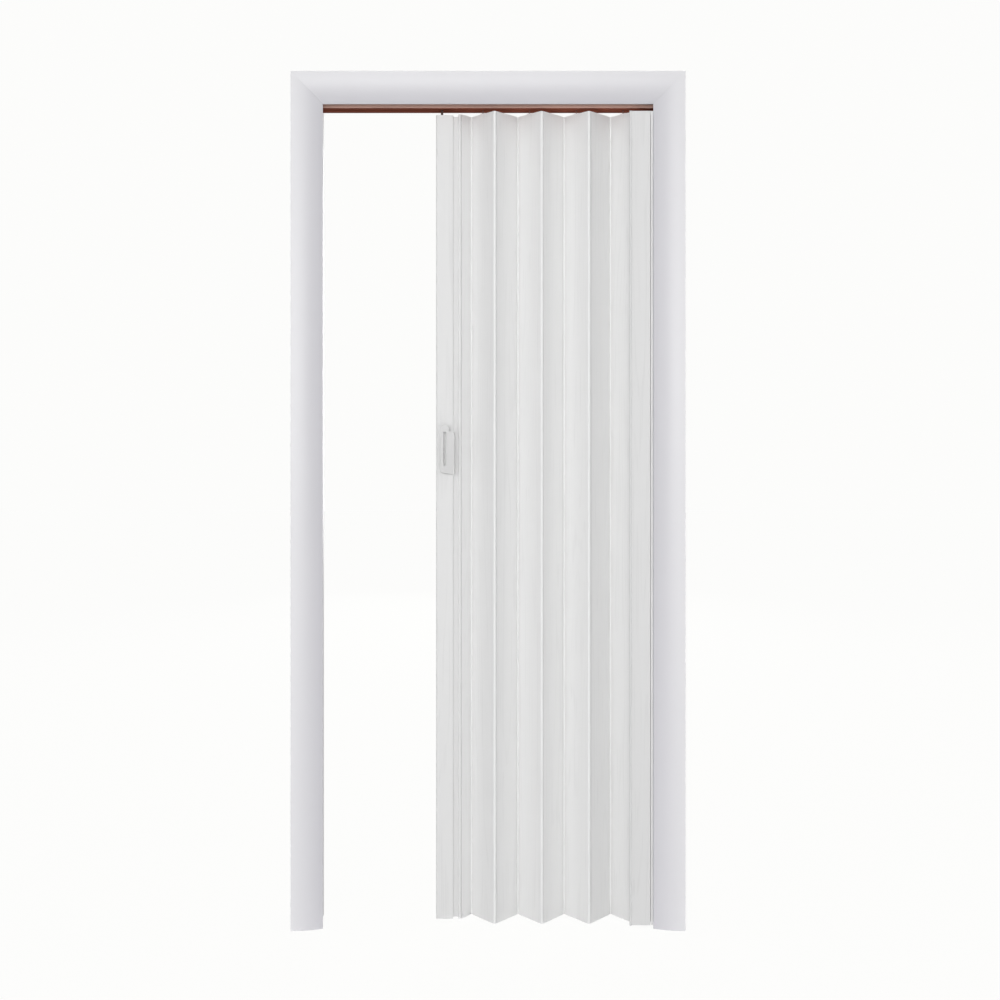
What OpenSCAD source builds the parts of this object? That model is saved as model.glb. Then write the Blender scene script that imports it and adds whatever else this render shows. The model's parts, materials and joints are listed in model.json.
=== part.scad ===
// Accordion door: a folding curtain of hollow slats on knuckle hinges, hung from a track
// in a cased door frame. Millimetres, +Z up, the viewer's side towards -Y, and the origin
// on the floor at the middle of the frame.

/* [Doorway] */
// Clear width between the side jambs
opening_width = 832; // [760:1:960]
// Clear height under the head jamb
opening_height = 2036; // [1900:1:2400]
// Thickness of the jamb boards
jamb_thickness = 18; // [16:1:30]
// Depth of the jamb boards, through the wall
jamb_depth = 116; // [110:1:180]
// Width of the casing's face
casing_width = 77; // [60:1:110]
// Thickness of the casing at its crown
casing_thickness = 22; // [14:1:24]
// Thickness of the casing at its inner edge
casing_edge = 3; // [3:0.5:8]
// How far the casing's crown lies in from its outer edge
casing_crown = 4; // [3:1:12]
// How far the front casing laps past the jamb's face into the opening
front_lap = 10; // [3:0.5:12]
// How far the back casing stands back from the jamb's face
back_reveal = 5; // [0:0.5:10]

/* [Track] */
// Width of the head track
track_width = 64; // [50:1:80]
// Height of the head track
track_height = 14.5; // [13:0.5:18]
// Thickness of the track's sides and floor
track_wall = 1.5; // [1.2:0.1:2]
// Thickness of the track's top, which takes the screw heads
track_top_wall = 2.5; // [2.3:0.1:3]
// Width of the slot that the glide pins run in
track_slot = 10; // [8:0.5:14]
// Height of the lips beside the slot, inside the track
track_lip_height = 2; // [1:0.25:2.5]
// Width of each lip
track_lip_width = 1.2; // [1:0.1:2]
// Gap at each end of the track
track_end_gap = 1; // [0.5:0.5:3]

/* [Curtain] */
// How far each slat is turned from the track line, as the door stands
fold_angle = 53.97; // [25:0.01:75]
// The same angle with the door shut
closed_angle = 19; // [17:0.5:22]
// The same angle with the door folded right back
folded_angle = 77.5; // [74:0.5:78]
// Thickness of a slat's hollow body
slat_thickness = 6.5; // [5:0.25:8]
// Thickness of a slat's walls and webs
slat_wall = 1; // [0.8:0.1:1.2]
// Chambers in a full slat, an odd number
slat_chambers = 5; // [3:2:7]
// Gap between the slats and the floor
floor_gap = 7; // [5:1:15]
// Gap between the slats and the track
head_gap = 9.5; // [8:0.5:12]

/* [Hinges] */
// Radius of the bead along one edge of a slat
bead_radius = 3.2; // [3:0.1:4]
// Gap between a bead and the socket round it
bead_clearance = 0.07; // [0.05:0.01:0.09]
// Thickness of the socket's wall
socket_wall = 1.3; // [1:0.1:1.5]
// Thickness of the neck between a bead and its slat's body
neck_thickness = 1.2; // [1:0.1:1.4]

/* [Lead post] */
// Width of the lead post, along the track
post_width = 42.2; // [36:0.1:60]
// Depth of the lead post, front to back
post_depth = 26; // [22:1:34]
// Thickness of the lead post's walls
post_wall = 1.6; // [1.2:0.1:2.2]
// Radius of the lead post's front and back edges at the nose
post_corner = 4; // [2:0.5:6]
// How much lower than the slats the lead post's top is
post_drop = 4; // [3:0.5:12]
// How much higher than the slats the lead post's foot is
post_lift = 3; // [1:0.5:8]
// Distance from the post to the hinge that carries it
flange_length = 16; // [12:0.1:32]
// Thickness of the flange that reaches to that hinge
flange_thickness = 3; // [2:0.25:4]
// Thickness of the plugs that close the post's ends
plug_thickness = 2; // [1.5:0.25:4]
// Length of the plugs inside the post
plug_depth = 25; // [18:1:40]
// Width of the magnetic strip in the nose
magnet_width = 10; // [6:0.5:14]
// Thickness of the magnetic strip
magnet_thickness = 3; // [2:0.25:3.5]

/* [Glides] */
// Radius of the disc that runs inside the track
disc_radius = 9; // [7:0.5:12]
// Thickness of the disc
disc_thickness = 3.5; // [2.5:0.25:3.75]
// Radius of the pin on each gliding slat
glide_pin_radius = 1.5; // [1.2:0.1:1.8]
// How deep that pin sits in its slat's plug
glide_depth = 14; // [8:1:18]
// Radius of the pin that carries the lead post
hanger_pin_radius = 3; // [2.5:0.1:3.5]
// How deep that pin sits in the lead post
hanger_depth = 15; // [10:1:17]
// Length of a glide's plug inside its slat
glide_plug_length = 20; // [19:1:30]
// Thickness of a glide's shoulder on top of its slat
glide_shoulder = 1.5; // [1:0.25:3]
// Distance from the lead post's nose to its pin
hanger_setback = 14.4; // [12:0.1:16]

/* [Handles] */
// Height of the handles' middle above the floor
handle_height = 1176; // [900:1:1300]
// Length of a handle
handle_length = 125; // [110:1:160]
// Width of a handle over its base and its bow
handle_width = 31.5; // [29:0.5:34]
// Width of the handle's base
handle_base_width = 16; // [14:0.5:18]
// How much lower than the bow's top the base ends
base_drop = 17.5; // [10:0.5:22]
// How far the front handle's base runs on past the post's edge
handle_overlap = 3.5; // [2:0.5:5]
// How far a handle stands off the post
handle_projection = 20; // [16:1:28]
// Width of the bow's plate
bow_width = 22; // [21.5:0.5:26]
// Thickness of the bow's plate
bow_thickness = 7; // [5:0.5:9]
// Width of the finger slot between the base and the bow
finger_slot = 7.5; // [7:0.5:8.5]
// Solid length above the finger slot
bow_top = 17.5; // [12:0.5:24]
// Solid length below the finger slot
bow_foot = 22.5; // [18:0.5:28]
// Radius of the bow's corners
bow_corner = 10.5; // [8:0.5:10.5]
// Radius of the base's corners
base_corner = 4; // [2:0.5:6]
// How much higher than its right side the handle's slanting foot ends on its left
foot_rise = 8; // [0:0.5:10]

/* [Jamb fittings] */
// Thickness of the steel strip that the magnet meets
strike_thickness = 2.5; // [2:0.25:4]
// Width of the steel strip
strike_width = 24; // [18:1:32]
// Distance from the right jamb to the axis of the fixed hinge
stile_depth = 21.5; // [17:0.5:24]
// Width of the fixed stile, front to back
stile_width = 24; // [18:1:30]
// Thickness of the fixed stile's walls
stile_wall = 1.5; // [1.2:0.1:2]
// How far the fixed stile's cover reaches in front of the slats
cover_reach = 51.6; // [40:0.2:60]
// Thickness of the cover
cover_thickness = 2.5; // [2:0.25:3]
// Radius of the cover's rolled edge
cover_edge = 3; // [2.5:0.25:4]
// Gap between the cover and the folds behind it, with the door folded back
cover_gap = 1; // [0.5:0.1:1.5]
// How much lower than the slats the cover's top is
cover_drop = 2; // [1:0.5:6]
// Thickness of the wall channel
channel_wall = 2; // [1.8:0.1:2.5]
// Gap under the track for the wall channel and the steel strip
fitting_head_gap = 3.5; // [2:0.5:8]
// Gap over the floor for the wall channel and the steel strip
fitting_floor_gap = 3; // [1:0.5:6]

/* [Screws] */
// Radius of the countersunk screws' shanks
screw_radius = 1.8; // [1.5:0.1:2.2]
// Radius of the countersunk screws' heads
screw_head_radius = 3.4; // [3:0.1:3.8]
// Depth of the countersink
screw_head_depth = 1.6; // [1.4:0.1:1.7]
// Length of the countersunk screws
screw_length = 16; // [12:1:17]
// Distance from the end of each fitting to its first screw
screw_end_distance = 70; // [40:5:150]
// Screws in the track, the wall channel and the steel strip
screws_in_row = 5; // [3:1:8]
// Radius of the holes that fix the frame to the wall
fixing_radius = 2.5; // [2:0.25:4]
// Height of the lowest fixing hole
fixing_first = 250; // [150:10:400]
// Distance between fixing holes
fixing_spacing = 500; // [400:10:520]
// Distance of the fixing holes behind the track line
fixing_setback = 42; // [40:1:48]
// Radius of the screws at the frame's corners
corner_screw_radius = 2.4; // [2:0.1:3]
// Length of the screws at the frame's corners
corner_screw_length = 60; // [50:5:90]
// Distance from the track line to each corner screw
corner_screw_offset = 32; // [20:1:45]
// Radius of the screws through the handles
handle_screw_radius = 2; // [1.5:0.1:2.5]
// Distance between the two screws through the handles
handle_screw_spacing = 66; // [56:1:74]
// Width of the cross recess in a screw's head
recess_width = 0.9; // [0.6:0.1:1.2]
// Depth of that recess
recess_depth = 1.1; // [0.8:0.1:1.4]

/* [Hidden] */
$fn = 64;

frame_white = "#f2f1f2";
slat_white = "#e9e8e6";
post_white = "#ecebe9";
handle_grey = "#dadad9";
track_brown = "#6b3a2a";
pin_brown = "#4a2a20";
steel_grey = "#a9acb0";
magnet_black = "#2b2b2d";

// Cuts run this far past the faces they open
cut_over = 1;
// Gap round parts that slip into one another
slip_gap = 0.1;
// Gap kept between parts that move past each other
moving_gap = 0.3;
// Gap left between the lead post's nose and the steel strip with the door shut
closing_gap = 1;

// Doorway
jamb_face = opening_width / 2;
casing_drop = casing_thickness - casing_edge;
casing_reach = casing_width - casing_crown;
casing_radius = (casing_reach ^ 2 + casing_drop ^ 2) / (2 * casing_drop);

// Track
track_length = opening_width - 2 * track_end_gap;
track_bottom = opening_height - track_height;
track_floor = track_bottom + track_wall;
lip_top = track_floor + track_lip_height;
disc_base = lip_top + moving_gap;

// Curtain: seven full slats and two half slats, so eight pitches along the track
full_slats = 7;
fixed_axis = jamb_face - stile_depth;
lead_reach = post_width + flange_length;
closed_reach = fixed_axis + jamb_face - strike_thickness - closing_gap - lead_reach;
slat_pitch = closed_reach / ((full_slats + 1) * cos(closed_angle));
fold_step = slat_pitch * cos(fold_angle);
fold_depth = slat_pitch / 2 * sin(fold_angle);
slat_bottom = floor_gap;
slat_top = track_bottom - head_gap;
slat_height = slat_top - slat_bottom;
lead_axis = fixed_axis - (full_slats + 1) * fold_step;
// The axis of fold number k, counted from the fixed hinge, with odd folds to the front
function fold_x(k) = fixed_axis - (k - 0.5) * fold_step;
function fold_y(k) = (k % 2 == 1 ? -1 : 1) * fold_depth;

// Hinges
socket_radius = bead_radius + bead_clearance;
socket_outer = socket_radius + socket_wall;
// How far a slat's outer face lies under the outside of its socket
face_step = 0.1;
// Half the angle that a neck takes up where it leaves its bead
neck_half_angle = asin(neck_thickness / 2 / bead_radius);
// Spare angle left at each end of a neck's swing
swing_spare = 4.4;
mouth_margin = neck_half_angle + swing_spare;
fold_mouth = [180 - 2 * folded_angle - mouth_margin, 180 - 2 * closed_angle + mouth_margin];
fixed_mouth = [180 - folded_angle - mouth_margin, 180 - closed_angle + mouth_margin];
lead_mouth = [closed_angle - mouth_margin, folded_angle + mouth_margin];
// Half the angle between neighbouring slats with the door folded back
folded_half = 90 - folded_angle;
// Distance from a hinge's axis at which a slat's inner face has come down to its neck
neck_reach = (neck_thickness / 2 + moving_gap) / tan(folded_half);
// How far a slat's body leans from the line between its hinges, so that its outer face at
// each hinge runs on from the socket there
function body_lean(length) =
  asin((socket_outer - face_step - slat_thickness / 2) / (length / 2));
// Distance from a hinge's axis at which the body has its full thickness, so that the inner
// faces of neighbouring slats stay apart with the door folded back
function body_reach(length) =
  (slat_thickness / 2 / cos(body_lean(length)) - length / 2 * tan(body_lean(length)) + moving_gap)
    / (tan(folded_half) - tan(body_lean(length)));
// Width of each chamber in a slat
function chamber_width(length, chambers) =
  (length - 2 * body_reach(length) + slat_wall) / chambers - slat_wall;

// Lead post
post_right = lead_axis - flange_length;
post_nose = post_right - post_width;
post_bottom = slat_bottom + post_lift;
post_top = slat_top - post_drop;
post_body_bottom = post_bottom + plug_thickness;
post_body_top = post_top - plug_thickness;
post_back_corner = 0.5;
hanger_x = post_nose + hanger_setback;
hanger_seat = post_top - hanger_depth;
glide_seat = slat_top - glide_depth;
nose_wall = magnet_thickness + post_wall;
web_x = post_nose + nose_wall + (post_width - nose_wall) / 2;
handle_screw_x = post_right - handle_base_width / 2;
handle_screw_middle = handle_height - base_drop / 2;

// Fittings on the jambs
fitting_bottom = fitting_floor_gap;
fitting_top = track_bottom - fitting_head_gap;
channel_face = jamb_face - channel_wall;
channel_front = fixed_axis + socket_outer + moving_gap;
cover_back = -slat_pitch / 2 * sin(folded_angle) - socket_outer - cover_gap;
fixing_holes = 4;

// Places of screws in a row from one end to the other
function row_places(low, high) = [
  for (i = [0 : screws_in_row - 1])
    low + screw_end_distance + i * (high - low - 2 * screw_end_distance) / (screws_in_row - 1)
];
track_screw_places = row_places(-track_length / 2, track_length / 2);
fitting_screw_places = row_places(fitting_bottom, fitting_top);

// A cross recess that reaches down into a screw's head from the origin
module cross_recess(length) {
  for (turn = [0, 90])
    rotate([0, 0, turn])
      translate([-length / 2, -recess_width / 2, -recess_depth])
        cube([length, recess_width, recess_depth + cut_over]);
}

// A countersunk screw pointing down, with the top of its head at the origin. As a cutting
// tool it has a bore above the head in place of the recess, which opens the face that the
// head lies flush with.
module countersunk_screw(open_above = 0) {
  difference() {
    union() {
      translate([0, 0, -screw_head_depth])
        cylinder(h = screw_head_depth, r1 = screw_radius, r2 = screw_head_radius);
      translate([0, 0, -screw_length])
        cylinder(h = screw_length - screw_head_depth / 2, r = screw_radius);
    }
    if (open_above == 0) cross_recess(screw_head_radius);
  }
  if (open_above > 0) cylinder(h = open_above, r = screw_head_radius);
}

// A screw with a low round head on its seat at the origin, pointing down
module round_head_screw(radius, length) {
  translate([0, 0, -length]) cylinder(h = length, r = radius);
  difference() {
    cylinder(h = radius, r = 2 * radius);
    translate([0, 0, radius]) cross_recess(2 * radius);
  }
}

// A rectangle with one radius on its left corners and another on its right
module rounded_rectangle(width, height, left_radius, right_radius) {
  translate([left_radius, 0]) square([width - left_radius - right_radius, height]);
  translate([0, left_radius]) square([left_radius, height - 2 * left_radius]);
  translate([width - right_radius, right_radius])
    square([right_radius, height - 2 * right_radius]);
  for (y = [left_radius, height - left_radius]) translate([left_radius, y]) circle(left_radius);
  for (y = [right_radius, height - right_radius])
    translate([width - right_radius, y]) circle(right_radius);
}

// Wedge from the origin between two angles, longer than a socket's radius
module mouth_wedge(mouth) {
  wedge_radius = 2 * socket_outer;
  wedge_steps = 8;
  polygon([
    [0, 0],
    for (i = [0 : wedge_steps])
      let (a = mouth[0] + i * (mouth[1] - mouth[0]) / wedge_steps)
        wedge_radius * [cos(a), sin(a)]
  ]);
}

// Section of a socket round a bead at the origin, open between two angles
module socket_section(mouth) {
  difference() {
    circle(socket_outer);
    circle(socket_radius);
    mouth_wedge(mouth);
  }
}

// Section of a slat along +X, with its socket at the origin and its bead at the far end. Its
// outer side at the socket is below the line between them, and above it at the bead.
module slat_section(length, mouth, chambers) {
  half = slat_thickness / 2;
  neck = neck_thickness / 2;
  lean = body_lean(length);
  reach = body_reach(length);
  chamber = chamber_width(length, chambers);
  socket_root = socket_radius + socket_wall / 2;
  clear_radius = socket_outer + moving_gap;
  outer_end = length - bead_radius;
  function face(x) = half / cos(lean) + (x - length / 2) * tan(lean);
  socket_section(mouth);
  translate([length, 0]) circle(bead_radius);
  translate([length - clear_radius - slat_wall, -neck])
    square([clear_radius + slat_wall, neck_thickness]);
  difference() {
    polygon([
      (socket_outer - face_step) * [sin(lean), -cos(lean)], [length - reach, -face(reach)],
      [length - neck_reach, -neck], [outer_end, -neck], [outer_end, face(outer_end)],
      [reach, face(reach)], [neck_reach, neck], [socket_root, neck]
    ]);
    circle(socket_radius);
    translate([length, 0]) circle(clear_radius);
    translate([length / 2, 0])
      rotate([0, 0, lean])
        for (i = [0 : chambers - 1])
          translate([reach - length / 2 + i * (chamber + slat_wall), slat_wall - half])
            square([chamber, slat_thickness - 2 * slat_wall]);
  }
}

// A fold's slat: even ones run to the left and front, odd ones to the left and back
module full_slat(k) {
  side = k % 2 == 1 ? -1 : 1;
  color(slat_white)
    translate([fold_x(k), fold_y(k), slat_bottom])
      rotate([0, 0, 180 + side * fold_angle])
        mirror([0, side == 1 ? 0 : 1, 0])
          linear_extrude(slat_height) slat_section(slat_pitch, fold_mouth, slat_chambers);
}

// The plug in the middle chamber of slat k, which holds the glide's pin
module slat_plug(k) {
  side = k % 2 == 1 ? -1 : 1;
  plug_width = chamber_width(slat_pitch, slat_chambers) - 2 * slip_gap;
  plug_thick = slat_thickness - 2 * slat_wall - 2 * slip_gap;
  color(slat_white)
    translate([fold_x(k + 0.5), 0, 0])
      difference() {
        rotate([0, 0, side * (fold_angle + body_lean(slat_pitch))]) {
          translate([-plug_width / 2, -plug_thick / 2, slat_top - glide_plug_length])
            cube([plug_width, plug_thick, glide_plug_length + glide_shoulder]);
          translate([-plug_width / 2 - slat_wall, -slat_thickness / 2, slat_top])
            cube([plug_width + 2 * slat_wall, slat_thickness, glide_shoulder]);
        }
        translate([0, 0, glide_seat])
          cylinder(h = glide_depth + glide_shoulder + cut_over, r = glide_pin_radius + slip_gap / 2);
      }
}

// A pin on its seat, with a disc that runs in the track
module track_pin(x, seat, radius) {
  color(pin_brown)
    translate([x, 0, 0]) {
      translate([0, 0, seat]) cylinder(h = disc_base - seat + disc_thickness, r = radius);
      translate([0, 0, disc_base]) cylinder(h = disc_thickness, r = disc_radius);
    }
}

module glide(k) { track_pin(fold_x(k + 0.5), glide_seat, glide_pin_radius); }

// Section of the casing, from its outer edge at 0 and with its back at 0
module casing_section() {
  intersection() {
    square([casing_width, casing_thickness]);
    translate([casing_crown, casing_thickness - casing_radius]) circle(casing_radius, $fn = 360);
  }
}

// A leg of a casing on the left and to the front, mitred at the top. Its lap is how far it
// reaches past the jamb's face, below 0 where it stands back.
module casing_leg(lap) {
  inner = jamb_face - lap;
  outer = inner + casing_width;
  foot_of_mitre = opening_height - lap;
  top = foot_of_mitre + casing_width;
  color(frame_white)
    intersection() {
      translate([-outer, -jamb_depth / 2, 0])
        mirror([0, 1, 0]) linear_extrude(top) casing_section();
      casing_outline([[-outer, 0], [-inner, 0], [-inner, foot_of_mitre], [-outer, top]]);
    }
}

// The head of a casing to the front, mitred at both ends
module casing_head(lap) {
  inner = jamb_face - lap;
  outer = inner + casing_width;
  foot_of_mitre = opening_height - lap;
  top = foot_of_mitre + casing_width;
  color(frame_white)
    intersection() {
      translate([outer, -jamb_depth / 2, top])
        rotate([180, 90, 0]) linear_extrude(2 * outer) casing_section();
      casing_outline([[-outer, top], [outer, top], [inner, foot_of_mitre], [-inner, foot_of_mitre]]);
    }
}

// A block with the outline of one leg or head as seen from the front, thicker than the casing
module casing_outline(points) {
  translate([0, -jamb_depth / 2 + cut_over, 0])
    rotate([90, 0, 0]) linear_extrude(casing_thickness + 2 * cut_over) polygon(points);
}

module front_casing_left() { casing_leg(front_lap); }
module front_casing_right() { mirror([1, 0, 0]) casing_leg(front_lap); }
module front_casing_head() { casing_head(front_lap); }
module back_casing_left() { mirror([0, 1, 0]) casing_leg(-back_reveal); }
module back_casing_right() { mirror([1, 0, 0]) mirror([0, 1, 0]) casing_leg(-back_reveal); }
module back_casing_head() { mirror([0, 1, 0]) casing_head(-back_reveal); }

// Screws down through the head jamb into both side jambs
module corner_screw_set(radius) {
  for (x = [-1, 1], y = [-1, 1])
    translate([x * (jamb_face + jamb_thickness / 2), y * corner_screw_offset,
               opening_height + jamb_thickness])
      round_head_screw(radius, corner_screw_length);
}

module corner_screws() { color(steel_grey) corner_screw_set(corner_screw_radius); }

// A side jamb with its wall fixing holes, on the left
module side_jamb() {
  difference() {
    translate([-jamb_face - jamb_thickness, -jamb_depth / 2, 0])
      cube([jamb_thickness, jamb_depth, opening_height]);
    for (i = [0 : fixing_holes - 1])
      translate([-jamb_face - jamb_thickness - cut_over, fixing_setback,
                 fixing_first + i * fixing_spacing])
        rotate([0, 90, 0]) cylinder(h = jamb_thickness + 2 * cut_over, r = fixing_radius);
    corner_screw_set(corner_screw_radius);
  }
}

module left_jamb() {
  color(frame_white)
    difference() {
      side_jamb();
      strike_screw_set();
    }
}

module right_jamb() {
  color(frame_white)
    difference() {
      mirror([1, 0, 0]) side_jamb();
      channel_screw_set();
    }
}

module head_jamb() {
  color(frame_white)
    difference() {
      translate([-jamb_face - jamb_thickness, -jamb_depth / 2, opening_height])
        cube([2 * (jamb_face + jamb_thickness), jamb_depth, jamb_thickness]);
      corner_screw_set(corner_screw_radius);
      track_screw_set();
    }
}

// Screws up through the track into the head jamb
module track_screw_set(open_above = 0) {
  for (x = track_screw_places)
    translate([x, 0, opening_height - track_top_wall])
      rotate([180, 0, 0]) countersunk_screw(open_above);
}

module track_screws() { color(steel_grey) track_screw_set(); }

module track() {
  inner_top = opening_height - track_top_wall;
  lip_side = track_slot / 2 + track_lip_width;
  color(track_brown)
    difference() {
      translate([-track_length / 2, 0, 0])
        rotate([90, 0, 90])
          linear_extrude(track_length)
            difference() {
              translate([-track_width / 2, track_bottom]) square([track_width, track_height]);
              translate([track_wall - track_width / 2, lip_top])
                square([track_width - 2 * track_wall, inner_top - lip_top]);
              for (left = [track_wall - track_width / 2, lip_side])
                translate([left, track_floor])
                  square([track_width / 2 - track_wall - lip_side, track_lip_height + cut_over]);
              translate([-track_slot / 2, track_bottom - cut_over])
                square([track_slot, track_wall + track_lip_height + 2 * cut_over]);
            }
      track_screw_set(cut_over);
    }
}

// Screws through the wall channel into the right jamb
module channel_screw_set(open_above = 0) {
  for (z = fitting_screw_places)
    translate([channel_face, 0, z]) rotate([0, -90, 0]) countersunk_screw(open_above);
}

module wall_channel_screws() { color(steel_grey) channel_screw_set(); }

module wall_channel() {
  channel_outer = stile_width + 2 * channel_wall;
  color(slat_white)
    difference() {
      translate([0, 0, fitting_bottom])
        linear_extrude(fitting_top - fitting_bottom)
          difference() {
            translate([channel_front + slip_gap, -channel_outer / 2])
              square([jamb_face - channel_front - slip_gap, channel_outer]);
            translate([channel_front - cut_over, -stile_width / 2])
              square([channel_face - channel_front + cut_over, stile_width]);
          }
      channel_screw_set(cut_over);
    }
}

// Section of the stile's cover: an arm to the front and a flat face with a rolled edge
module cover_section() {
  cover_left = channel_front - cover_reach;
  cover_front = cover_back - cover_thickness;
  arm_left = channel_front - stile_wall;
  arm_root = stile_wall - stile_width / 2;
  translate([cover_left + cover_edge, cover_back - cover_edge]) circle(cover_edge);
  translate([cover_left + cover_edge, cover_front])
    square([cover_reach - cover_edge, cover_thickness]);
  translate([arm_left, cover_front]) square([stile_wall, arm_root - cover_front]);
  translate([arm_left, arm_root - stile_wall]) square([1.5 * stile_wall, stile_wall]);
}

// The stile in the wall channel, with the bead of the fixed hinge along its edge and a cover
// that stands flat in front of the slats
module fixed_stile() {
  color(slat_white)
    translate([0, 0, slat_bottom]) {
      linear_extrude(slat_height - cover_drop) cover_section();
      linear_extrude(slat_height)
        union() {
          translate([fixed_axis, 0]) circle(bead_radius);
          translate([fixed_axis, -neck_thickness / 2])
            square([channel_front - fixed_axis + stile_wall / 2, neck_thickness]);
          difference() {
            translate([channel_front, -stile_width / 2])
              square([channel_face - channel_front, stile_width]);
            translate([channel_front + stile_wall, stile_wall - stile_width / 2])
              square([channel_face - channel_front - 2 * stile_wall,
                      stile_width - 2 * stile_wall]);
          }
        }
    }
}

// Screws through the steel strip into the left jamb
module strike_screw_set(open_above = 0) {
  for (z = fitting_screw_places)
    translate([strike_thickness - jamb_face, 0, z])
      rotate([0, 90, 0]) countersunk_screw(open_above);
}

module strike_screws() { color(steel_grey) strike_screw_set(); }

module strike_strip() {
  color(steel_grey)
    difference() {
      translate([-jamb_face, -strike_width / 2, fitting_bottom])
        cube([strike_thickness, strike_width, fitting_top - fitting_bottom]);
      strike_screw_set(cut_over);
    }
}

// The half slat on the fixed hinge
module half_slat_a() {
  color(slat_white)
    translate([fixed_axis, 0, slat_bottom])
      rotate([0, 0, 180 + fold_angle])
        linear_extrude(slat_height) slat_section(slat_pitch / 2, fixed_mouth, 1);
}

// The half slat that carries the lead post
module half_slat_b() {
  last_fold = full_slats + 1;
  color(slat_white)
    translate([fold_x(last_fold), fold_y(last_fold), slat_bottom])
      rotate([0, 0, 180 + fold_angle])
        linear_extrude(slat_height) slat_section(slat_pitch / 2, fold_mouth, 1);
}

module slat_1() { full_slat(1); }
module slat_2() { full_slat(2); }
module slat_3() { full_slat(3); }
module slat_4() { full_slat(4); }
module slat_5() { full_slat(5); }
module slat_6() { full_slat(6); }
module slat_7() { full_slat(7); }

module plug_1() { slat_plug(1); }
module plug_3() { slat_plug(3); }
module plug_5() { slat_plug(5); }
module plug_7() { slat_plug(7); }

module glide_1() { glide(1); }
module glide_3() { glide(3); }
module glide_5() { glide(5); }
module glide_7() { glide(7); }

// Outline of the post's box, with a rounded nose
module post_outline() {
  translate([post_nose, -post_depth / 2])
    rounded_rectangle(post_width, post_depth, post_corner, post_back_corner);
}

// The post's two chambers, smaller all round by a gap
module post_chambers(gap) {
  inner_depth = post_depth - 2 * post_wall - 2 * gap;
  left = post_nose + nose_wall;
  for (span = [[left, web_x - post_wall / 2], [web_x + post_wall / 2, post_right - post_wall]])
    translate([span[0] + gap, -inner_depth / 2])
      square([span[1] - span[0] - 2 * gap, inner_depth]);
}

// Through holes for the handle screws
module handle_screw_holes() {
  for (side = [-1, 1])
    translate([handle_screw_x, 0, handle_screw_middle + side * handle_screw_spacing / 2])
      rotate([90, 0, 0])
        cylinder(h = post_depth + 2 * cut_over, r = handle_screw_radius + slip_gap, center = true);
}

module lead_post() {
  color(post_white)
    difference() {
      translate([0, 0, post_body_bottom])
        linear_extrude(post_body_top - post_body_bottom)
          union() {
            difference() {
              post_outline();
              post_chambers(0);
              translate([post_nose - cut_over, -magnet_width / 2])
                square([magnet_thickness + cut_over, magnet_width]);
            }
            translate([lead_axis, 0]) socket_section(lead_mouth);
            translate([post_right - post_wall / 2, -flange_thickness / 2])
              square([flange_length + post_wall / 2 - socket_radius - socket_wall / 2,
                      flange_thickness]);
          }
      handle_screw_holes();
    }
}

// A plug in one end of the post, with its plate at the origin and its tongues upwards
module post_plug() {
  linear_extrude(plug_thickness) post_outline();
  linear_extrude(plug_depth) post_chambers(slip_gap);
}

module post_top_plug() {
  color(post_white)
    difference() {
      translate([0, 0, post_top]) mirror([0, 0, 1]) post_plug();
      translate([hanger_x, 0, hanger_seat])
        cylinder(h = post_top - hanger_seat + cut_over, r = hanger_pin_radius + slip_gap / 2);
    }
}

module post_foot_plug() { color(post_white) translate([0, 0, post_bottom]) post_plug(); }

// The pin and disc that carry the lead post in the track
module hanger() { track_pin(hanger_x, hanger_seat, hanger_pin_radius); }

module magnet_strip() {
  color(magnet_black)
    translate([post_nose, -magnet_width / 2, post_body_bottom])
      cube([magnet_thickness, magnet_width, post_body_top - post_body_bottom]);
}

// Outline of a handle's base, which runs on past the post's edge by the overlap
module handle_base(overlap) {
  translate([post_right - handle_base_width, handle_height - handle_length / 2])
    rounded_rectangle(handle_base_width + overlap, handle_length - base_drop,
                      base_corner, base_corner);
}

// A handle on the post's front: its base, a bow that stands off the post, and a slanting foot
module handle_form(overlap) {
  foot = handle_height - handle_length / 2;
  left = post_right - handle_width;
  slot_left = post_right - handle_base_width - finger_slot;
  slot_radius = finger_slot / 2 - 0.01;
  slot_length = handle_length - bow_top - bow_foot;
  translate([0, -post_depth / 2, 0]) rotate([90, 0, 0])
    difference() {
      union() {
        linear_extrude(handle_projection) handle_base(overlap);
        translate([0, 0, handle_projection - bow_thickness])
          linear_extrude(bow_thickness)
            difference() {
              union() {
                handle_base(overlap);
                translate([left, foot])
                  rounded_rectangle(bow_width, handle_length, bow_corner, bow_corner);
              }
              translate([slot_left, foot + bow_foot])
                rounded_rectangle(finger_slot, slot_length, slot_radius, slot_radius);
            }
      }
      translate([left, foot + foot_rise, -cut_over])
        rotate([0, 0, -atan(foot_rise / (handle_width + overlap))])
          translate([-handle_width, -handle_width, 0])
            cube([3 * handle_width, handle_width, handle_projection + 2 * cut_over]);
    }
}

module front_handle() {
  blind_depth = handle_projection / 2;
  color(handle_grey)
    difference() {
      handle_form(handle_overlap);
      for (side = [-1, 1])
        translate([handle_screw_x, -post_depth / 2 + cut_over,
                   handle_screw_middle + side * handle_screw_spacing / 2])
          rotate([90, 0, 0]) cylinder(h = blind_depth + cut_over, r = handle_screw_radius);
    }
}

module back_handle() {
  color(handle_grey)
    difference() {
      mirror([0, 1, 0]) handle_form(0);
      handle_screw_set(slip_gap);
    }
}

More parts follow.
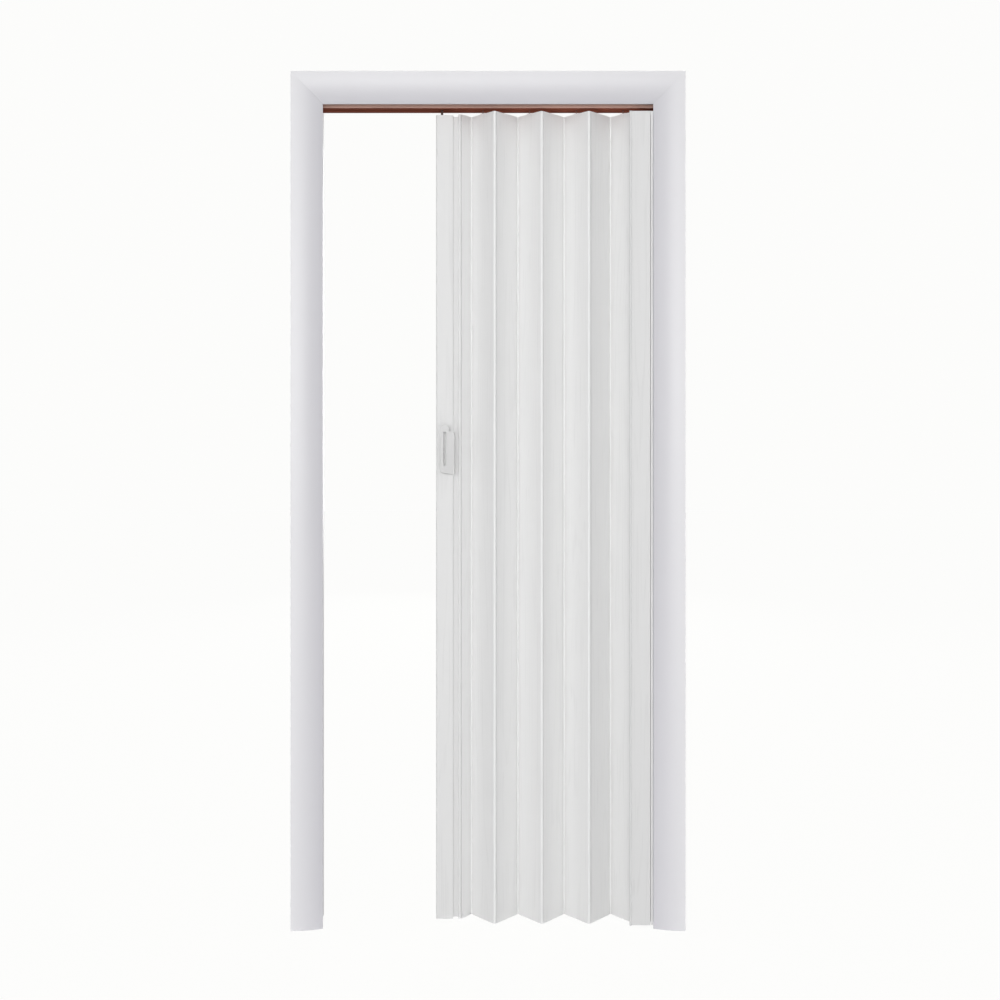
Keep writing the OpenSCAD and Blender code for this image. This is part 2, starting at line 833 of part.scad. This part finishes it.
// Screws from the back handle through the post into the front handle
module handle_screw_set(gap) {
  head_seat = post_depth / 2 + handle_projection - 2 * handle_screw_radius;
  tip = -post_depth / 2 - handle_projection / 2;
  for (side = [-1, 1])
    translate([handle_screw_x, 0, handle_screw_middle + side * handle_screw_spacing / 2])
      rotate([90, 0, 0]) {
        translate([0, 0, -head_seat]) cylinder(h = head_seat - tip, r = handle_screw_radius + gap);
        translate([0, 0, -head_seat - handle_screw_radius * 2 - gap])
          difference() {
            cylinder(h = handle_screw_radius * 2 + gap, r = 2 * handle_screw_radius + gap);
            if (gap == 0) rotate([180, 0, 0]) cross_recess(2 * handle_screw_radius);
          }
      }
}

module handle_screws() {
  color(steel_grey) handle_screw_set(0);
}

left_jamb();
right_jamb();
head_jamb();
front_casing_left();
front_casing_right();
front_casing_head();
back_casing_left();
back_casing_right();
back_casing_head();
corner_screws();
track();
track_screws();
wall_channel();
wall_channel_screws();
fixed_stile();
strike_strip();
strike_screws();
half_slat_a();
slat_1();
slat_2();
slat_3();
slat_4();
slat_5();
slat_6();
slat_7();
half_slat_b();
plug_1();
plug_3();
plug_5();
plug_7();
glide_1();
glide_3();
glide_5();
glide_7();
lead_post();
post_top_plug();
post_foot_plug();
hanger();
magnet_strip();
front_handle();
back_handle();
handle_screws();
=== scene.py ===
"""Looks for the accordion door: materials, softened edges, small trims, studio, lights and
camera. Metres, +Z up."""
import json
import math

import bmesh
import bpy
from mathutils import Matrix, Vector

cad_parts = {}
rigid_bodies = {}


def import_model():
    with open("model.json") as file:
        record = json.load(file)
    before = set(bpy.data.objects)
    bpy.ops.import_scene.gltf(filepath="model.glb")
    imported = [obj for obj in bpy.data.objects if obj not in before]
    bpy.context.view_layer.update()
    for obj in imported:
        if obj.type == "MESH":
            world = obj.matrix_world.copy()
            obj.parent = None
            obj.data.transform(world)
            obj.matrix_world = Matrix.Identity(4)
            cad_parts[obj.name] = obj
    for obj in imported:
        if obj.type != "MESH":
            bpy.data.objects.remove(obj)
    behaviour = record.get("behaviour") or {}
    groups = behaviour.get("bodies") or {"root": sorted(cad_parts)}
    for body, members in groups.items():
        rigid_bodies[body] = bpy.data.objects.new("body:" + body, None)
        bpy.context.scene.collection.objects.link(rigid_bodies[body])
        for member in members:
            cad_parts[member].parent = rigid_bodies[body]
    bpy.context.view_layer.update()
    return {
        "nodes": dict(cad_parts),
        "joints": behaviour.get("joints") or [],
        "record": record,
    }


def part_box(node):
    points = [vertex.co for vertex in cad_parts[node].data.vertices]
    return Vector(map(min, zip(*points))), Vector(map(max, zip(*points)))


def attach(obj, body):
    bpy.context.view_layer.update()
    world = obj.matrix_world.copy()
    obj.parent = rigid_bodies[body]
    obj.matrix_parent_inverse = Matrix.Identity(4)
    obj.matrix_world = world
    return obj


# Camera, worked out from the photograph: level, in front of the opening and near its middle
CAMERA_X = 0.0293
CAMERA_HEIGHT = 1.230
CAMERA_DISTANCE = 4.000
IMAGE_WIDTH_AT_CASING = 2.445
HORIZON_SHIFT = -0.072
SENSOR_MM = 36
CLIP_END = 100

# Studio and light
BACKDROP_WHITE = (0.975, 0.975, 0.965, 1)
FLOOR_SIZE = 40
FLOOR_ROUGHNESS = 0.9
FLOOR_GLOW_SHARE = 0.95
FLOOR_GLOW_STRENGTH = 1.03
WORLD_COLOUR = (0.985, 0.985, 1.0, 1)
WORLD_STRENGTH = 0.36
LAMP_TARGET = (0, 0, 1.6)
LAMP_SIZE = 3.0
LAMP_SPREAD = math.radians(100)
FRONT_LAMP = {"place": (-0.45, -8.6, 1.9), "power": 100}
LEFT_LAMP = {"place": (-5.6, -6.5, 1.9), "power": 20}
RIGHT_LAMP = {"place": (6.6, -5.5, 1.9), "power": 12}
BACK_LAMP = {"place": (0, 8.6, 1.9), "power": 66}

# Colours, linear. The casing's paint carries painted shade, darkening from a white outer edge to a
# cool grey inner one by the opening, and painted light, lighter at the foot than from a metre up.
# The track's outer side faces carry painted light, a lighter copy of its brown than the rest of it,
# down to a depth between TRACK_PAINTED_LIGHT_TO and TRACK_PAINTED_LIGHT_FROM under them.
CASING_OUTER = (0.732, 0.727, 0.745, 1)
CASING_INNER_PAINTED_SHADE = (0.599, 0.592, 0.626, 1)
CASING_FOOT_PAINTED_LIGHT = 1.11
CASING_PAINTED_LIGHT_TOP = 1.0
JAMB_WHITE = (0.78, 0.78, 0.79, 1)
# SLAT_WHITE_PAINTED_LIGHT is lighter than POST_WHITE, though both are the same white PVC: painted
# light that makes up for the light the tilted slats lose.
SLAT_WHITE_PAINTED_LIGHT = (0.855, 0.855, 0.852, 1)
POST_WHITE = (0.755, 0.755, 0.752, 1)
STILE_WHITE = (0.715, 0.715, 0.712, 1)
GRAIN_SHADE = 0.955
HANDLE_GREY = (0.50, 0.50, 0.498, 1)
TRACK_FACE_PAINTED_LIGHT = (0.56, 0.35, 0.29, 1)
TRACK_BROWN = (0.30, 0.092, 0.058, 1)
TRACK_DARK = 0.55
TRACK_FACE_DARK = 0.75
TRACK_PAINTED_LIGHT_FROM = 0.0010
TRACK_PAINTED_LIGHT_TO = 0.0006
PIN_BROWN = (0.060, 0.022, 0.014, 1)
GLIDE_BROWN = (0.15, 0.055, 0.037, 1)
STEEL = (0.62, 0.63, 0.64, 1)
MAGNET_BLACK = (0.02, 0.02, 0.022, 1)

# Surface detail: how often each noise repeats in a metre, along X, Y and Z where three are
# given. RINGS sets how close together the rings in the slats' grain stand.
FIBRES = (300, 300, 4)
FIGURE = (15, 15, 0.75)
RINGS = 75
STREAKS = (2.5, 90, 90)
STIPPLE = 900
CLOUD = 12
MOULDED_SKIN = 600
PLATE_LINES = (1, 1, 500)

# Softened edges
CASING_EDGE = 0.0008
HANDLE_EDGE = 0.0016
HANDLE_EDGE_STEPS = 3
PVC_EDGE = 0.0004
TRIM_EDGE = 0.0006
SHARP_ANGLE = math.radians(40)

# Soft lip that closes the groove between a slat's edge and the socket it turns in
LIP_START = 0.0032
LIP_FACE = 0.00442
LIP_CLEAR = 0.00462
LIP_STEPS = 4

# Trim that fills the gap between the fixed stile's cover and the casing
TRIM_GAP = 0.0011
TRIM_WALL = 0.002
TRIM_FRONT = -0.0559
TRIM_DROP = 0.002
TRIM_CLEAR = 0.0004


def shade(colour, factor):
    return tuple(channel * factor for channel in colour[:3]) + (1,)


class Nodes:
    """A node tree, with a short call for each kind of node."""

    def __init__(self, tree):
        self.tree = tree

    def node(self, kind, inputs=None, **settings):
        made = self.tree.nodes.new(kind)
        for key, value in settings.items():
            setattr(made, key, value)
        for key, value in (inputs or {}).items():
            self.put(made.inputs[key], value)
        return made

    def put(self, socket, value):
        if isinstance(value, bpy.types.NodeSocket):
            self.tree.links.new(value, socket)
        else:
            socket.default_value = value

    def place(self):
        """Coordinates in the door's own frame."""
        return self.node("ShaderNodeTexCoord").outputs["Object"]

    def noise(self, stretch, size=1.0, detail=4.0, rough=0.55, twist=0.0):
        where = self.node("ShaderNodeMapping", {"Vector": self.place(), "Scale": stretch})
        return self.node("ShaderNodeTexNoise", {
            "Vector": where.outputs["Vector"], "Scale": size, "Detail": detail,
            "Roughness": rough, "Distortion": twist}).outputs["Fac"]

    def math(self, operation, first, second=0.0):
        return self.node("ShaderNodeMath", {0: first, 1: second}, operation=operation).outputs[0]

    def ramp(self, value, low, high, start, end):
        return self.node("ShaderNodeMapRange", {
            "Value": value, "From Min": low, "From Max": high,
            "To Min": start, "To Max": end}).outputs["Result"]

    def mix(self, share, first, second):
        mixed = self.node("ShaderNodeMix", data_type="RGBA")
        self.put(mixed.inputs[0], share)
        self.put(mixed.inputs[6], first)
        self.put(mixed.inputs[7], second)
        return mixed.outputs[2]

    def bump(self, height, strength, distance):
        return self.node("ShaderNodeBump", {
            "Height": height, "Strength": strength, "Distance": distance}).outputs["Normal"]

    def white_backdrop(self, lit, glow, output, share=1.0):
        """Shows a glow to rays that come from the camera, a mirror or a pane, and the lit
        side to the light that falls on the object."""
        paths = self.node("ShaderNodeLightPath").outputs
        seen = self.math("MAXIMUM", paths["Is Camera Ray"], paths["Is Glossy Ray"])
        seen = self.math("MAXIMUM", seen, paths["Is Transmission Ray"])
        mixed = self.node("ShaderNodeMixShader", {
            0: self.math("MULTIPLY", seen, share), 1: lit, 2: glow})
        self.put(self.tree.nodes[output].inputs["Surface"], mixed.outputs[0])


class Surface(Nodes):
    """A material's node tree."""

    def __init__(self, name):
        self.material = bpy.data.materials.new(name)
        self.material.use_nodes = True
        super().__init__(self.material.node_tree)
        self.shader = self.tree.nodes["Principled BSDF"]

    def set(self, **values):
        for key, value in values.items():
            self.put(self.shader.inputs[key.replace("_", " ")], value)


def paint_finish(s, colour):
    """Satin paint with a fine roller stipple and a faint cloud in its tone."""
    stipple = s.noise((1, 1, 1), STIPPLE, detail=2)
    cloud = s.noise((1, 1, 0.15), CLOUD, detail=2)
    s.set(Base_Color=s.mix(s.ramp(cloud, 0.3, 0.7, 0, 0.02), colour, (0.5, 0.5, 0.5, 1)),
          Roughness=s.ramp(stipple, 0.3, 0.7, 0.36, 0.46),
          Normal=s.bump(stipple, 0.12, 0.0004))
    return s.material


def casing_with_painted_shade_and_light(name, side):
    """Paint on one face's casing, with painted shade that darkens it across its width towards the
    opening, and painted light that makes it lighter at the foot.
    """
    s = Surface(name)
    low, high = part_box(side + "_casing_right")
    inner, outer = low.x, high.x
    head_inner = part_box(side + "_casing_head")[0].z
    axes = s.node("ShaderNodeSeparateXYZ", {0: s.place()}).outputs
    beside = s.math("SUBTRACT", s.math("ABSOLUTE", axes["X"]), inner)
    above = s.math("SUBTRACT", axes["Z"], head_inner)
    # Painted shade: the tone darkens across the width towards the inner edge by the opening.
    across = s.ramp(s.math("MAXIMUM", beside, above), 0, outer - inner, 0, 1)
    # Painted light: the paint grows lighter towards the floor, from a metre up down to the foot.
    foot = s.mix(across, shade(CASING_INNER_PAINTED_SHADE, CASING_FOOT_PAINTED_LIGHT), shade(CASING_OUTER, CASING_FOOT_PAINTED_LIGHT))
    rest = s.mix(across, CASING_INNER_PAINTED_SHADE, CASING_OUTER)
    return paint_finish(s, s.mix(s.ramp(axes["Z"], 0, CASING_PAINTED_LIGHT_TOP, 0, 1), foot, rest))


def jamb_paint():
    return paint_finish(Surface("jamb_paint"), JAMB_WHITE)


def grained_pvc(name, colour):
    """White PVC with an embossed wood grain that runs up the slats."""
    s = Surface(name)
    fibres = s.noise(FIBRES, detail=5, rough=0.6)
    figure = s.noise(FIGURE, detail=1.5, rough=0.5, twist=0.8)
    rings = s.math("SINE", s.math("MULTIPLY", figure, RINGS))
    pores = s.math("MULTIPLY", s.ramp(rings, 0.55, 0.95, 0, 1), s.ramp(fibres, 0.42, 0.60, 0, 1))
    height = s.math("SUBTRACT", s.math("MULTIPLY", fibres, 0.6), s.math("MULTIPLY", pores, 0.5))
    s.set(Base_Color=s.mix(pores, colour, shade(colour, GRAIN_SHADE)),
          Roughness=s.ramp(fibres, 0.3, 0.7, 0.52, 0.64),
          Normal=s.bump(height, 0.35, 0.0004))
    return s.material


def brown_pvc():
    """Brown foil on the track, with its grain along the track, and painted light on its outer side
    faces, which take a lighter copy of the brown.
    """
    s = Surface("brown_pvc")
    streaks = s.noise(STREAKS, detail=5)
    facing = s.node("ShaderNodeSeparateXYZ", {0: s.node("ShaderNodeNewGeometry").outputs["Normal"]})
    upright = s.ramp(s.math("ABSOLUTE", facing.outputs["Y"]), 0.5, 0.9, 0, 1)
    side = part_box("track")[1].y
    depth = s.node("ShaderNodeSeparateXYZ", {0: s.place()}).outputs["Y"]
    outside = s.ramp(s.math("ABSOLUTE", depth), side - TRACK_PAINTED_LIGHT_FROM, side - TRACK_PAINTED_LIGHT_TO, 0, 1)
    # Painted light: the upright outer faces take a lighter copy of the brown, as if lit, over the
    # darker underside.
    painted_light_mask = s.math("MULTIPLY", upright, outside)
    tone = s.mix(painted_light_mask, TRACK_BROWN, TRACK_FACE_PAINTED_LIGHT)
    dark = s.mix(painted_light_mask, shade(TRACK_BROWN, TRACK_DARK), shade(TRACK_FACE_PAINTED_LIGHT, TRACK_FACE_DARK))
    s.set(Base_Color=s.mix(s.ramp(streaks, 0.35, 0.65, 0, 1), dark, tone),
          Roughness=s.ramp(painted_light_mask, 0, 1, 0.75, 0.5),
          Specular_IOR_Level=0.0,
          Normal=s.bump(streaks, 0.2, 0.0003))
    return s.material


def moulded(name, colour, low, high):
    """Moulded plastic with a fine texture, its roughness between two values."""
    s = Surface(name)
    skin = s.noise((1, 1, 1), MOULDED_SKIN, detail=2)
    s.set(Base_Color=s.mix(s.ramp(skin, 0.3, 0.7, 0, 0.06), colour, shade(colour, 0.6)),
          Roughness=s.ramp(skin, 0.3, 0.7, low, high),
          Normal=s.bump(skin, 0.1, 0.0003))
    return s.material


def plated_steel():
    """Zinc plate with fine lines."""
    s = Surface("steel")
    lines = s.noise(PLATE_LINES, detail=3)
    s.set(Base_Color=s.mix(s.ramp(lines, 0.3, 0.7, 0, 0.15), STEEL, shade(STEEL, 0.6)),
          Metallic=1.0,
          Roughness=s.ramp(lines, 0.3, 0.7, 0.3, 0.5),
          Normal=s.bump(lines, 0.1, 0.0002))
    return s.material


def material_of(part, made):
    """The material of a CAD node: its slot's, or a variant that its place calls for."""
    name = part["node"]
    if name.startswith("front_casing"):
        return made["front_casing"]
    if name.startswith("back_casing"):
        return made["back_casing"]
    if name.startswith("glide"):
        return made["glide_nylon"]
    if name in ("lead_post", "post_top_plug", "post_foot_plug"):
        return made["post_pvc"]
    if name == "fixed_stile":
        return made["stile_pvc"]
    return made[part["material_slot"]]


def dress(nodes):
    """Gives each CAD node its material."""
    made = {
        "front_casing": casing_with_painted_shade_and_light("front_casing_shade_and_light_paint", "front"),
        "back_casing": casing_with_painted_shade_and_light("back_casing_shade_and_light_paint", "back"),
        "painted_wood": jamb_paint(),
        "white_pvc": grained_pvc("white_pvc", SLAT_WHITE_PAINTED_LIGHT),
        "post_pvc": grained_pvc("post_pvc", POST_WHITE),
        "stile_pvc": grained_pvc("stile_pvc", STILE_WHITE),
        "brown_pvc": brown_pvc(),
        "brown_nylon": moulded("brown_nylon", PIN_BROWN, 0.35, 0.5),
        "glide_nylon": moulded("glide_nylon", GLIDE_BROWN, 0.35, 0.5),
        "handle_plastic": moulded("handle_plastic", HANDLE_GREY, 0.28, 0.4),
        "magnet_rubber": moulded("magnet_rubber", MAGNET_BLACK, 0.6, 0.75),
        "steel": plated_steel(),
    }
    for part in frame["record"]["subparts"]:
        for slot in nodes[part["node"]].material_slots:
            slot.material = material_of(part, made)
    return made


def strip(name, outline, low, high, body, material):
    """An upright strip of PVC with the given outline in plan, between two heights."""
    shape = bmesh.new()
    rings = [[shape.verts.new((x, y, z)) for x, y in outline] for z in (low, high)]
    for ring in rings:
        shape.faces.new(ring)
    for i in range(len(outline)):
        shape.faces.new((rings[0][i - 1], rings[0][i], rings[1][i], rings[1][i - 1]))
    bmesh.ops.recalc_face_normals(shape, faces=shape.faces)
    mesh = bpy.data.meshes.new(name)
    shape.to_mesh(mesh)
    shape.free()
    mesh.materials.append(material)
    made = bpy.data.objects.new(name, mesh)
    bpy.context.scene.collection.objects.link(made)
    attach(made, body)
    return made


def hinge_lips(material):
    """A soft lip at each fold, on the slat whose bead turns in the next one's socket."""
    low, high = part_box("slat_1")
    arc = math.acos(LIP_FACE / LIP_CLEAR)
    step = (math.asin(LIP_START / LIP_CLEAR) - arc) / LIP_STEPS
    angles = [arc + i * step for i in range(LIP_STEPS + 1)]
    section = [(-LIP_START, LIP_FACE)]
    section += [(-LIP_CLEAR * math.sin(a), LIP_CLEAR * math.cos(a)) for a in angles]
    start = {joint["child"]: Vector(joint["pos_m"]) for joint in frame["joints"]}
    for joint in frame["joints"]:
        if not joint["name"].startswith("fold"):
            continue
        axis = Vector(joint["pos_m"])
        along = (axis - start[joint["parent"]]).normalized()
        out = Vector((-along.y, along.x, 0))
        if out.y * axis.y < 0:
            out = -out
        outline = [(axis + along * x + out * y).to_2d() for x, y in section]
        strip(joint["name"] + "_lip", outline, low.z, high.z, joint["parent"], material)


def stile_trim(material):
    """The wall channel's trim beside the fixed stile's cover."""
    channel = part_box("wall_channel")[0]
    low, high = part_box("fixed_stile")
    left = channel.x + TRIM_GAP
    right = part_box("front_casing_right")[0].x - TRIM_CLEAR
    back = TRIM_FRONT + TRIM_WALL
    outline = [(left, TRIM_FRONT), (right, TRIM_FRONT), (right, channel.y),
               (right - TRIM_WALL, channel.y), (right - TRIM_WALL, back), (left, back)]
    return strip("stile_trim", outline, low.z, high.z - TRIM_DROP, "frame", material)


def soften(pieces, width, segments=2):
    """Rounds the sharp edges of pieces by a width that suits their material."""
    for piece in pieces:
        bevel = piece.modifiers.new("soft_edges", "BEVEL")
        bevel.width = width
        bevel.segments = segments
        bevel.limit_method = "ANGLE"
        bevel.angle_limit = SHARP_ANGLE
        bevel.harden_normals = True


def studio():
    """Floor that shows white to the camera and keeps a faint shadow."""
    s = Surface("studio_white")
    s.set(Base_Color=BACKDROP_WHITE, Roughness=FLOOR_ROUGHNESS)
    glow = s.node("ShaderNodeEmission", {"Color": BACKDROP_WHITE, "Strength": FLOOR_GLOW_STRENGTH})
    s.white_backdrop(s.shader.outputs[0], glow.outputs[0], "Material Output", FLOOR_GLOW_SHARE)
    bpy.ops.mesh.primitive_plane_add(size=FLOOR_SIZE, location=(0, 0, 0))
    floor = bpy.context.object
    floor.name = "studio_floor"
    floor.data.materials.append(s.material)


def world():
    """Even light all round, and a white backdrop past the floor."""
    made = bpy.data.worlds.new("studio_world")
    bpy.context.scene.world = made
    made.use_nodes = True
    w = Nodes(made.node_tree)
    soft = w.tree.nodes["Background"]
    w.put(soft.inputs["Color"], WORLD_COLOUR)
    w.put(soft.inputs["Strength"], WORLD_STRENGTH)
    glow = w.node("ShaderNodeBackground", {"Color": BACKDROP_WHITE, "Strength": 1.0})
    w.white_backdrop(soft.outputs[0], glow.outputs[0], "World Output")


def softbox(name, place, power):
    """A lamp that lights the door and leaves the floor round itself dark."""
    data = bpy.data.lights.new(name, "AREA")
    data.shape = "SQUARE"
    data.size = LAMP_SIZE
    data.spread = LAMP_SPREAD
    data.energy = power
    lamp = bpy.data.objects.new(name, data)
    bpy.context.scene.collection.objects.link(lamp)
    lamp.visible_camera = False
    lamp.location = place
    lamp.rotation_mode = "QUATERNION"
    lamp.rotation_quaternion = (Vector(LAMP_TARGET) - Vector(place)).to_track_quat("-Z", "Y")


def camera():
    data = bpy.data.cameras.new("camera")
    data.sensor_width = SENSOR_MM
    data.lens = SENSOR_MM * CAMERA_DISTANCE / IMAGE_WIDTH_AT_CASING
    data.shift_y = HORIZON_SHIFT
    data.clip_end = CLIP_END
    made = bpy.data.objects.new("camera", data)
    bpy.context.scene.collection.objects.link(made)
    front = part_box("front_casing_head")[0].y
    made.location = (CAMERA_X, front - CAMERA_DISTANCE, CAMERA_HEIGHT)
    made.rotation_euler = (math.radians(90), 0, 0)
    bpy.context.scene.camera = made


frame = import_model()
camera()
world()
studio()
softbox("front_lamp", **FRONT_LAMP)
softbox("left_lamp", **LEFT_LAMP)
softbox("right_lamp", **RIGHT_LAMP)
softbox("back_lamp", **BACK_LAMP)
paints = dress(frame["nodes"])
hinge_lips(paints["white_pvc"])
trim = stile_trim(paints["white_pvc"])
named = frame["nodes"]
soften([piece for name, piece in named.items() if "casing" in name], CASING_EDGE)
soften([named["front_handle"], named["back_handle"]], HANDLE_EDGE, HANDLE_EDGE_STEPS)
soften([named["lead_post"], named["track"], named["wall_channel"]], PVC_EDGE)
soften([trim], TRIM_EDGE)
bpy.context.scene.view_settings.view_transform = "Standard"
